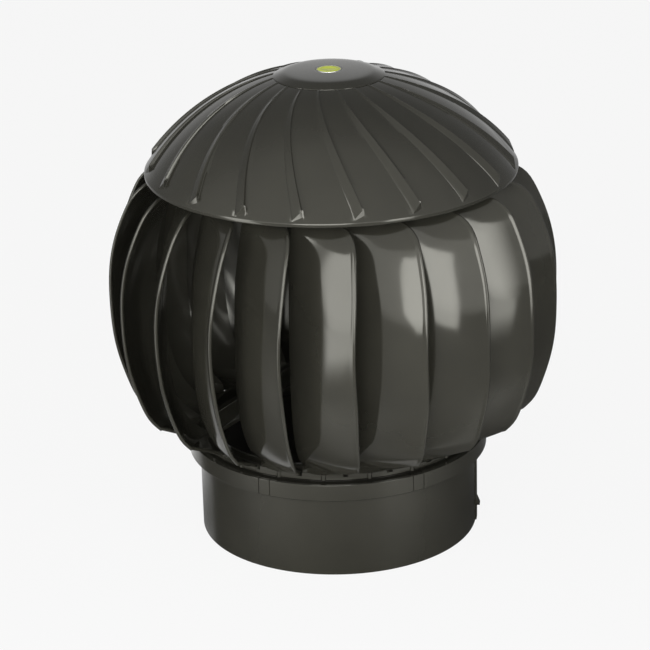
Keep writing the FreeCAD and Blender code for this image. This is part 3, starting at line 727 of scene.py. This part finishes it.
class HEAD_OT_cap(bpy.types.Operator):
    """Models the domed cap with its swirl ribs, rim and vane seat"""

    bl_idname = "head.cap"
    bl_label = "Ribbed cap"

    def execute(self, context):
        shell = join(copies_round(grid_from("ribbed_cap", self.sector(context.scene.head_sizes))))
        select_mesh()
        bpy.ops.mesh.remove_doubles(threshold=WELD / 2)
        face_outwards()
        seat = lathe("seat", metres(SEAT))
        cap = join([shell, seat])
        shade(cap, 32.0)
        dress(cap, plastic())
        stand_for(cap, "cap", "rotor")
        return {"FINISHED"}

    def sector(self, sizes):
        """Rows over one pitch of the cap: from its hole over the rib to the rim, and back underneath."""
        rib_steps, rim_steps = 39, 6
        rows = [rib_row(r * MM, 0.0, 0.0, RIB_START_WIDTH) for r in (CAP_HOLE_R, 26.0, 31.0)]
        last = RIB_TO - sizes.rib_end - 0.4 * MM
        for i in range(rib_steps + 1):
            r = RIB_FROM + (last - RIB_FROM) * i / rib_steps
            share = (r - RIB_FROM) / (RIB_TO - RIB_FROM)
            height = RIB_START_HEIGHT + (sizes.rib_height - RIB_START_HEIGHT) * share
            width = RIB_START_WIDTH + (sizes.rib_width - RIB_START_WIDTH) * share
            rows.append(rib_row(r, share, height, width))
        end = rib_columns(sizes.rib_width, RIB_TO, 1.0)
        feet = [RIB_TO - 0.2 * MM + 1.55 * MM * slant for _, _, slant in end]
        rows.append([dome_point(foot - sizes.rib_end * k, az, k * sizes.rib_height)
                     for foot, (az, k, _) in zip(feet, end)])
        rows.append([dome_point(foot + 0.02 * MM, az) for foot, (az, _, _) in zip(feet, end)])
        azimuths = [az for az, _, _ in end]
        rows.append([dome_point(107.1 * MM, az) for az in azimuths])
        for turn in range(1, rim_steps + 1):
            lean = math.radians(RIM_LEAN * (1 - turn / rim_steps))
            rows.append(ring_row(azimuths, RIM_TURN_R + RIM_ROUND * math.cos(lean),
                                 RIM_TURN_Z + RIM_ROUND * math.sin(lean)))
        for r, z in metres(RIM_UNDER):
            rows.append(ring_row(azimuths, r, z))
        for r in (105.5, 100.0, 94.0, 84.0, 72.0, 58.0, 44.0, 32.0, CAP_HOLE_R):
            under = math.sqrt((DOME_R - CAP_WALL) ** 2 - (r * MM) ** 2)
            rows.append(ring_row(azimuths, r * MM, DOME_CENTRE + under))
        return rows + [[polar(CAP_HOLE_R * MM, az, p.z) for az, p in zip(azimuths, rows[0])]]


CROWN_R = 32.0
CROWN_UNDER, RECESS_Z = 276.6, 278.1
CROWN_TOP = ((31.0, 0.3), (31.9, 0.04), (CROWN_R, 0.1), (31.98, 0.3), (31.8, 0.42), (31.0, 0.75),
             (28.8, 1.62), (27.0, 2.28), (26.1, 2.56), (25.3, 2.74), (24.2, 2.89), (22.6, 3.02),
             (20.4, 3.13), (17.0, 3.26), (13.0, 3.37), (9.0, 3.45), (7.7, 3.47), (7.5, 3.45), (7.4, 3.35))
BADGE_RIM = ((6.75, 278.12), (7.2, 278.12), (7.2, 278.72), (7.15, 278.84), (7.05, 278.9), (6.9, 278.92),
             (6.8, 278.88), (6.75, 278.8))
BADGE_FACE = ((6.75, 278.14), (6.75, 278.8), (6.6, 278.84), (5.3, 278.88), (5.2, 278.94), (4.8, 278.95),
              (4.7, 278.89), (0.3, 278.92), (0.3, 278.14))


class HEAD_OT_crown(bpy.types.Operator):
    """Models the snap-in crown cover and the badge disc in its recess"""

    bl_idname = "head.crown"
    bl_label = "Crown cover and badge"

    def execute(self, context):
        finish = context.scene.head_finish
        base = (DOME_CENTRE + math.sqrt(DOME_R ** 2 - (CROWN_R * MM) ** 2)) / MM
        top = [(r, base + rise) for r, rise in CROWN_TOP]
        outline = [(18.0, CROWN_UNDER), (18.0, 272.0), (19.8, 272.0), (19.8, 277.0), *top, (7.35, RECESS_Z),
                   (0.4, RECESS_Z), (0.4, CROWN_UNDER)]
        cover = lathe("crown_cover_shell", metres(outline))
        shade(cover, 35.0)
        dress(cover, plastic())
        stand_for(cover, "crown_cover", "rotor")
        rim = lathe("badge_rim", metres(BADGE_RIM), segments=96)
        dress(rim, metal_material("badge_silver", tuple(finish.badge_rim), 0.42, False))
        face = lathe("badge_face", metres(BADGE_FACE), segments=96)
        dress(face, badge_material())
        badge = join([face, rim])
        badge.name = "badge_disc_printed"
        shade(badge, 40.0)
        stand_for(badge, "badge_disc", "rotor")
        return {"FINISHED"}


SLEEVE_R, BORE_R = 82.5, 80.3
SLEEVE_TOP, COLLAR_BOTTOM, COLLAR_TOP = 57.0, 49.1, 59.3
COLLAR_R, COLLAR_CHAMFER = 88.8, ((88.2, COLLAR_BOTTOM), (88.8, 50.0))
LUG_PITCH = math.radians(60.0)
LUG_AZIMUTHS = [math.radians(31.0) + LUG_PITCH * i for i in range(6)]
LUG_HALF, LUG_GAP = 3.5 / COLLAR_R, 3.7 / COLLAR_R
NIB_AZ = math.radians(84.0)
PAD_HALF = 4.5 / SLEEVE_R
PAD_R, ROOT_R = 83.2, 81.6


class HEAD_OT_sleeve(bpy.types.Operator):
    """Models the pipe sleeve with its stop ledge, lugs, pad and locking nib"""

    bl_idname = "head.sleeve"
    bl_label = "Pipe sleeve"

    def execute(self, context):
        stop_r, stop_z = 77.5, (46.0, 48.2)
        pieces = [lathe("pipe_sleeve", metres([
            (81.3, 0.0), (SLEEVE_R, 0.0), (SLEEVE_R, SLEEVE_TOP), (BORE_R, SLEEVE_TOP), (BORE_R, stop_z[1]),
            (stop_r, stop_z[1]), (stop_r, stop_z[0]), (BORE_R, stop_z[0]), (BORE_R, 1.0)]), segments=192)]
        lug = metres([(ROOT_R, COLLAR_BOTTOM), *COLLAR_CHAMFER, (COLLAR_R, COLLAR_TOP),
                      (SLEEVE_R, COLLAR_TOP), (SLEEVE_R, SLEEVE_TOP), (ROOT_R, SLEEVE_TOP)])
        for az in LUG_AZIMUTHS:
            pieces.append(swept("lug", lug, az - LUG_HALF, az + LUG_HALF, steps=4))
        pad = rectangle(ROOT_R, PAD_R, 0.0, COLLAR_BOTTOM)
        pieces.append(swept("pad", pad, NIB_AZ - PAD_HALF, NIB_AZ + PAD_HALF, steps=5))
        nib = metres([(81.4, 9.0), (85.1, 9.0), (PAD_R, 13.8), (81.4, 13.8)])
        pieces.append(plate("nib", nib, 6.0 * MM, NIB_AZ))
        finish_moulding(join(pieces), "base_sleeve")
        return {"FINISHED"}


def finish_moulding(piece, node):
    """Rounds and dresses a fixed moulded piece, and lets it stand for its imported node."""
    soften(piece, bpy.context.scene.head_sizes.edge_round)
    dress(piece, plastic())
    stand_for(piece, node, "base")


ARM_AZIMUTHS = [math.radians(-90.0 + 120.0 * i) for i in range(3)]
ARM_TOP, ARM_SLOPE, ARM_DEPTH = 116.0, 0.634, 14.5
ARM_FROM, ARM_TO = 8.0, 75.0
FLANGE_THICK = 2.6
SPIGOT_R, SPIGOT_OUTER, SPIGOT_BOTTOM = 78.1, 80.1, 51.0


class HEAD_OT_spider(bpy.types.Operator):
    """Models the collar over the sleeve's top edge, the three arms and the hub"""

    bl_idname = "head.spider"
    bl_label = "Collar and spider"

    def execute(self, context):
        pieces = [lathe("spider_carrier", metres([
            (SPIGOT_R, SPIGOT_BOTTOM), (SPIGOT_OUTER, SPIGOT_BOTTOM), (SPIGOT_OUTER, SLEEVE_TOP),
            (82.3, SLEEVE_TOP), (82.3, COLLAR_TOP), (SPIGOT_R, COLLAR_TOP)]), segments=192)]
        channel = metres([(82.3, SLEEVE_TOP), (86.4, SLEEVE_TOP), (86.4, COLLAR_BOTTOM), *COLLAR_CHAMFER,
                          (COLLAR_R, COLLAR_TOP), (82.3, COLLAR_TOP)])
        for az in LUG_AZIMUTHS:
            pieces.append(swept("collar", channel, az + LUG_GAP, az + LUG_PITCH - LUG_GAP, steps=32))
        pieces.append(lathe("hub", rectangle(5.05, 16.0, 86.0, ARM_TOP), segments=64))
        for az in ARM_AZIMUTHS:
            web = [self.line(ARM_FROM), self.line(ARM_TO), (ARM_TO, COLLAR_TOP), (79.1, COLLAR_TOP),
                   (79.1, SPIGOT_BOTTOM), self.line(ARM_TO, ARM_DEPTH), self.line(ARM_FROM, ARM_DEPTH)]
            pieces.append(plate("arm_web", metres(web), 3.0 * MM, az))
            for top in (0.0, ARM_DEPTH - FLANGE_THICK):
                bottom = top + FLANGE_THICK
                bar = [self.line(ARM_FROM, top), self.line(ARM_TO, top), self.line(ARM_TO, bottom),
                       self.line(ARM_FROM, bottom)]
                pieces.append(plate("arm_flange", metres(bar), 8.0 * MM, az))
        finish_moulding(join(pieces), "spider")
        return {"FINISHED"}

    def line(self, r, drop=0.0):
        """Point of an arm's upper edge at radius r, or of a line that lies drop below it."""
        return r, ARM_TOP - ARM_SLOPE * r - drop


class HEAD_OT_inner(bpy.types.Operator):
    """Gives the ring under the vanes, the pins and the bearing housing their moulded finish"""

    bl_idname = "head.inner"
    bl_label = "Ring, pins and housing"

    def execute(self, context):
        for node in ("lower_ring", "ring_pins", "cap_pins", "bearing_housing"):
            dress_node(node, plastic())
        return {"FINISHED"}


def dress_node(node, finish):
    """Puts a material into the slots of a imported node, whose mesh stays as it is."""
    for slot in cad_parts[node].material_slots:
        slot.material = finish


class HEAD_OT_bearings(bpy.types.Operator):
    """Gives the axle, bearings and fasteners their metals"""

    bl_idname = "head.bearings"
    bl_label = "Axle and bearings"

    def execute(self, context):
        finish = context.scene.head_finish
        steel = metal_material("turned_steel", tuple(finish.steel), 0.28, True)
        zinc = metal_material("zinc_plate", tuple(finish.zinc), 0.34, False)
        bearing = metal_material("bearing_steel", tuple(finish.bearing), 0.16, True)
        metals = {"axle": steel, "bearing_spacer": zinc, "housing_screws": zinc}
        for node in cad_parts:
            if node.startswith("axle_"):
                metals[node] = zinc
            elif "_bearing_" in node:
                metals[node] = bearing
        for node, metal in metals.items():
            dress_node(node, metal)
        return {"FINISHED"}


CAMERA_PLACE, CAMERA_TURN = Vector((0, -1.42658, 0.67117)), (-0.0042, 0.3669, -0.0264)
LAMP_DISTANCE = 1.3
LEFT_AIM = Vector((-0.01, -0.12, 0.17))
FRONT_AIM = Vector((0.03, -0.11, 0.17))
RIGHT_AIM = Vector((0.09, -0.08, 0.17))
LEFT_AZ = -61
GLOW_FROM, GLOW_SEEN, GLOW_MIRRORED = 82.0 * MM, 0.955, 0.97
WALLS = ((-1.0, 1.05), (-0.6, 1.0), (-0.3, 0.88), (0.0, 0.74), (0.1, 0.62), (0.3, 0.42), (0.5, 0.32),
         (0.7, 0.3), (0.87, 0.52), (0.94, 0.68), (0.98, 0.88), (1.0, 1.0))
# Painted floor brightness in mirror rays, by direction round the axis, darkest to the sides.
PAINTED_FLOOR_LEVELS = ((-1.0, 0.57), (-0.64, 0.53), (-0.34, 0.37), (0.0, 0.18), (0.34, 0.2), (0.8, 0.4), (1.0, 0.6))
# Painted brightness of the floor near the sleeve, by mirror-ray azimuth in degrees.
PAINTED_BAND_LEVELS = ((-180, 1.2), (-150, 5.4), (-133, 3.1), (-118, 0.5), (-103, 0.62), (-85, 1.15), (-62, 1.85),
         (-16, 1.26), (4, 1.26), (30, 1.95), (50, 3.0), (78, 1.95), (118, 1.25), (180, 1.2))


def softbox(name, target, azimuth, elevation, width, height, strength, roll=0.0, feather=(0.0, 0.0, 0.0),
            corner=None, distance=LAMP_DISTANCE):
    """Rectangular lamp whose face spans the given angles, in degrees, as seen from the target.

    The feather is the share of the face over which the light fades, at the left, right and bottom.
    The corner is the slope and height of a line that cuts off the face's lower left."""
    a, e = math.radians(azimuth), math.radians(elevation)
    away = Vector((math.sin(a) * math.cos(e), -math.cos(a) * math.cos(e), math.sin(e)))
    wide, high = [2 * distance * math.tan(math.radians(angle / 2)) for angle in (width, height)]
    deselect()
    bpy.ops.object.light_add(type="AREA", location=Vector(target) + away * distance)
    lamp = bpy.context.object
    lamp.name = name
    lamp.data.shape = "RECTANGLE"
    lamp.data.size = wide
    lamp.data.size_y = high
    lamp.data.energy = strength * math.pi * wide * high
    lamp.rotation_mode = "QUATERNION"
    lamp.rotation_quaternion = away.to_track_quat("Z", "Y") @ Quaternion((0, 0, 1), math.radians(roll))
    fade_lamp(lamp.data, *feather, corner)


def fade_lamp(lamp, left, right, bottom, corner):
    """Lets a lamp's face fade out towards its two sides and its lower edge, and cuts a corner off."""
    lamp.use_nodes = True
    nodes = Nodes(lamp.node_tree)
    axes = nodes.axes(nodes.add("ShaderNodeNewGeometry").outputs["Parametric"])
    total = 1.0
    for name, start, width in (("X", 0.0, left), ("X", 1.0, -right), ("Y", 0.0, bottom)):
        if width:
            total = nodes.product(total, nodes.smooth_step(axes[name], start, start + width))
    if corner:
        slope, level = corner
        height = nodes.math("ADD", axes["Y"], nodes.product(axes["X"], slope))
        total = nodes.product(total, nodes.smooth_step(height, level - 0.02, level + 0.04))
    nodes.feed(lamp.node_tree.nodes["Emission"].inputs["Strength"], total)


def painted_lamp_pool(nodes, place, target, azimuth, near, far):
    """Painted pool of lamp light on the floor in front of a lamp: a soft-sided sector that fades towards
    the object.
    """
    half_width, level, lamp_foot = math.radians(13), 4.8, (1.36, 1.24)
    offset = nodes.vector("SUBTRACT", place, (target.x, target.y, 0))
    aim = nodes.vector("DOT_PRODUCT", nodes.vector("NORMALIZE", offset), polar(1, math.radians(azimuth), 0))
    reach = nodes.vector("LENGTH", offset)
    inside = nodes.smooth_step(aim, math.cos(half_width), math.cos(half_width / 2))
    before = nodes.smooth_step(reach, *lamp_foot)
    return nodes.product(inside, before, nodes.smooth_step(reach, near, far), level)


def painted_reflection_bands(nodes, reach):
    """Painted brightness of the floor close to the sleeve, by the azimuth of the mirror ray that meets the
    floor there.
    """
    ray = nodes.axes(nodes.add("ShaderNodeNewGeometry").outputs["Incoming"])
    azimuth = nodes.math("ARCTAN2", nodes.product(ray["X"], -1.0), ray["Y"])
    level = nodes.falloff(nodes.product(azimuth, 1 / math.pi), [(at / 180, level) for at, level in PAINTED_BAND_LEVELS])
    return nodes.tilted(nodes.math("ADD", level, -1.0), nodes.smooth_step(reach, 0.3, 0.2))


class HEAD_OT_stage(bpy.types.Operator):
    """Sets up the pale floor, the softboxes, the even light and the camera"""

    bl_idname = "head.stage"
    bl_label = "Studio"

    def execute(self, context):
        studio = context.scene.studio_setting
        self.floor(studio)
        self.world(context.scene, studio)
        strength = studio.lamp_strength
        softbox("softbox_left", LEFT_AIM, LEFT_AZ, 6, 24, 52, 0.85 * strength, feather=(0.25, 0.25, 0.0))
        softbox("softbox_front", FRONT_AIM, -9.3, 9.5, 35, 41, strength, roll=-7, corner=(0.70, 0.22),
                distance=0.64)
        softbox("softbox_right", RIGHT_AIM, 41, 7, 25, 56, strength, roll=-8, feather=(0.12, 0.6, 0.0))
        softbox("front_fill", (0.0, -0.10, 0.17), -6, 10, 96, 54, studio.fill_strength,
                feather=(0.05, 0.05, 0.25), distance=1.7)
        self.camera(context.scene, studio)
        context.scene.view_settings.view_transform = "Standard"
        return {"FINISHED"}

    def floor(self, studio):
        """Pale floor that takes the object's shadow; in mirror rays it glows with painted light that stands
        in for the lamps lighting it.
        """
        deselect()
        bpy.ops.mesh.primitive_circle_add(vertices=96, radius=studio.floor_radius, fill_type="NGON",
                                          location=(0, 0, -0.05 * MM))
        floor = bpy.context.object
        floor.name = "studio_floor"
        settle(floor)
        paint = Paint("pale_floor")
        paint.set("Base Color", (*studio.backdrop, 1.0))
        paint.set("Roughness", 0.9)
        paint.set("Specular IOR Level", 0.0)
        axes = paint.axes(paint.vector("NORMALIZE", paint.place))
        reach = paint.vector("LENGTH", paint.place)
        # Mirror-ray floor light, all painted: levels by direction, lighter to the left, painted shade near
        # the object and painted bands near the sleeve.
        mirrored = paint.product(paint.falloff(axes["Y"], PAINTED_FLOOR_LEVELS), paint.tilted(axes["X"], -0.3),
                                 paint.smooth_step(reach, 0.0, 0.3), painted_reflection_bands(paint, reach))
        # Painted pools of lamp light on the floor before the left and right softboxes, seen in mirror rays.
        for target, azimuth, near, far in ((LEFT_AIM, LEFT_AZ, 0.24, 0.52), (RIGHT_AIM, 35.5, 0.32, 0.75)):
            mirrored = paint.math("ADD", mirrored, painted_lamp_pool(paint, paint.place, target, azimuth, near, far))
        outside = paint.math("GREATER_THAN", reach, GLOW_FROM)
        glow = paint.add("ShaderNodeEmission")
        glow.inputs["Color"].default_value = (*studio.backdrop, 1.0)
        paint.feed(glow.inputs["Strength"], paint.product(paint.by_ray(1.0, mirrored, 1.0), outside))
        mix = paint.add("ShaderNodeMixShader")
        paint.feed(mix.inputs[0], paint.product(paint.by_ray(GLOW_SEEN, GLOW_MIRRORED, 0.0), outside))
        paint.feed(mix.inputs[1], paint.shader.outputs[0])
        paint.feed(mix.inputs[2], glow.outputs[0])
        paint.feed(paint.tree.nodes["Material Output"].inputs["Surface"], mix.outputs[0])
        floor.data.materials.append(paint.material)

    def world(self, scene, studio):
        """Even light on the surfaces, and in mirror rays a room that darkens towards its back."""
        scene.world = bpy.data.worlds.new("studio_light")
        scene.world.use_nodes = True
        nodes = Nodes(scene.world.node_tree)
        background = nodes.tree.nodes["Background"]
        background.inputs["Color"].default_value = (*studio.backdrop, 1.0)
        axes = nodes.axes(nodes.add("ShaderNodeTexCoord").outputs["Generated"])
        mirrored = nodes.product(nodes.falloff(axes["Y"], WALLS), nodes.tilted(axes["X"], -0.05))
        even = nodes.product(nodes.tilted(axes["X"], -0.6), nodes.tilted(axes["Y"], -0.5), studio.ambient)
        nodes.feed(background.inputs["Strength"], nodes.by_ray(1.0, mirrored, even))

    def camera(self, scene, studio):
        """Camera in the place that was fitted to the photograph."""
        yaw, pitch, roll = CAMERA_TURN
        ahead = Vector((math.sin(yaw) * math.cos(pitch), math.cos(yaw) * math.cos(pitch), -math.sin(pitch)))
        side = Vector((math.cos(yaw), -math.sin(yaw), 0))
        top = side.cross(ahead)
        right = side * math.cos(roll) + top * math.sin(roll)
        above = top * math.cos(roll) - side * math.sin(roll)
        deselect()
        bpy.ops.object.camera_add(location=CAMERA_PLACE)
        camera = bpy.context.object
        camera.name = "photo_camera"
        camera.data.lens = studio.lens
        camera.data.sensor_width = 36.0
        turn = Matrix((right, above, -ahead)).transposed().to_4x4()
        camera.matrix_world = Matrix.Translation(CAMERA_PLACE) @ turn
        scene.camera = camera


class HEAD_PT_panel(bpy.types.Panel):
    """Sizes, finishes and build steps of the ventilation head"""

    bl_idname = "HEAD_PT_panel"
    bl_label = "Ventilation head"
    bl_space_type = "VIEW_3D"
    bl_region_type = "UI"
    bl_category = "Vent head"

    def draw(self, context):
        for group in (context.scene.head_sizes, context.scene.head_finish, context.scene.studio_setting):
            box = self.layout.box()
            for key in group.__annotations__:
                box.prop(group, key)
        for operator in OPERATORS:
            self.layout.operator(operator.bl_idname)


OPERATORS = (HEAD_OT_stage, HEAD_OT_vanes, HEAD_OT_cap, HEAD_OT_crown, HEAD_OT_sleeve, HEAD_OT_spider,
             HEAD_OT_inner, HEAD_OT_bearings)
CLASSES = (HeadSizes, HeadFinish, StudioSetting, *OPERATORS, HEAD_PT_panel)


def register():
    for item in CLASSES:
        bpy.utils.register_class(item)
    bpy.types.Scene.head_sizes = PointerProperty(type=HeadSizes)
    bpy.types.Scene.head_finish = PointerProperty(type=HeadFinish)
    bpy.types.Scene.studio_setting = PointerProperty(type=StudioSetting)


def unregister():
    del bpy.types.Scene.studio_setting
    del bpy.types.Scene.head_finish
    del bpy.types.Scene.head_sizes
    for item in reversed(CLASSES):
        bpy.utils.unregister_class(item)


def main():
    register()
    bpy.ops.head.stage()
    bpy.ops.head.vanes()
    bpy.ops.head.cap()
    bpy.ops.head.crown()
    bpy.ops.head.sleeve()
    bpy.ops.head.spider()
    bpy.ops.head.inner()
    bpy.ops.head.bearings()


if __name__ == "__main__":
    main()
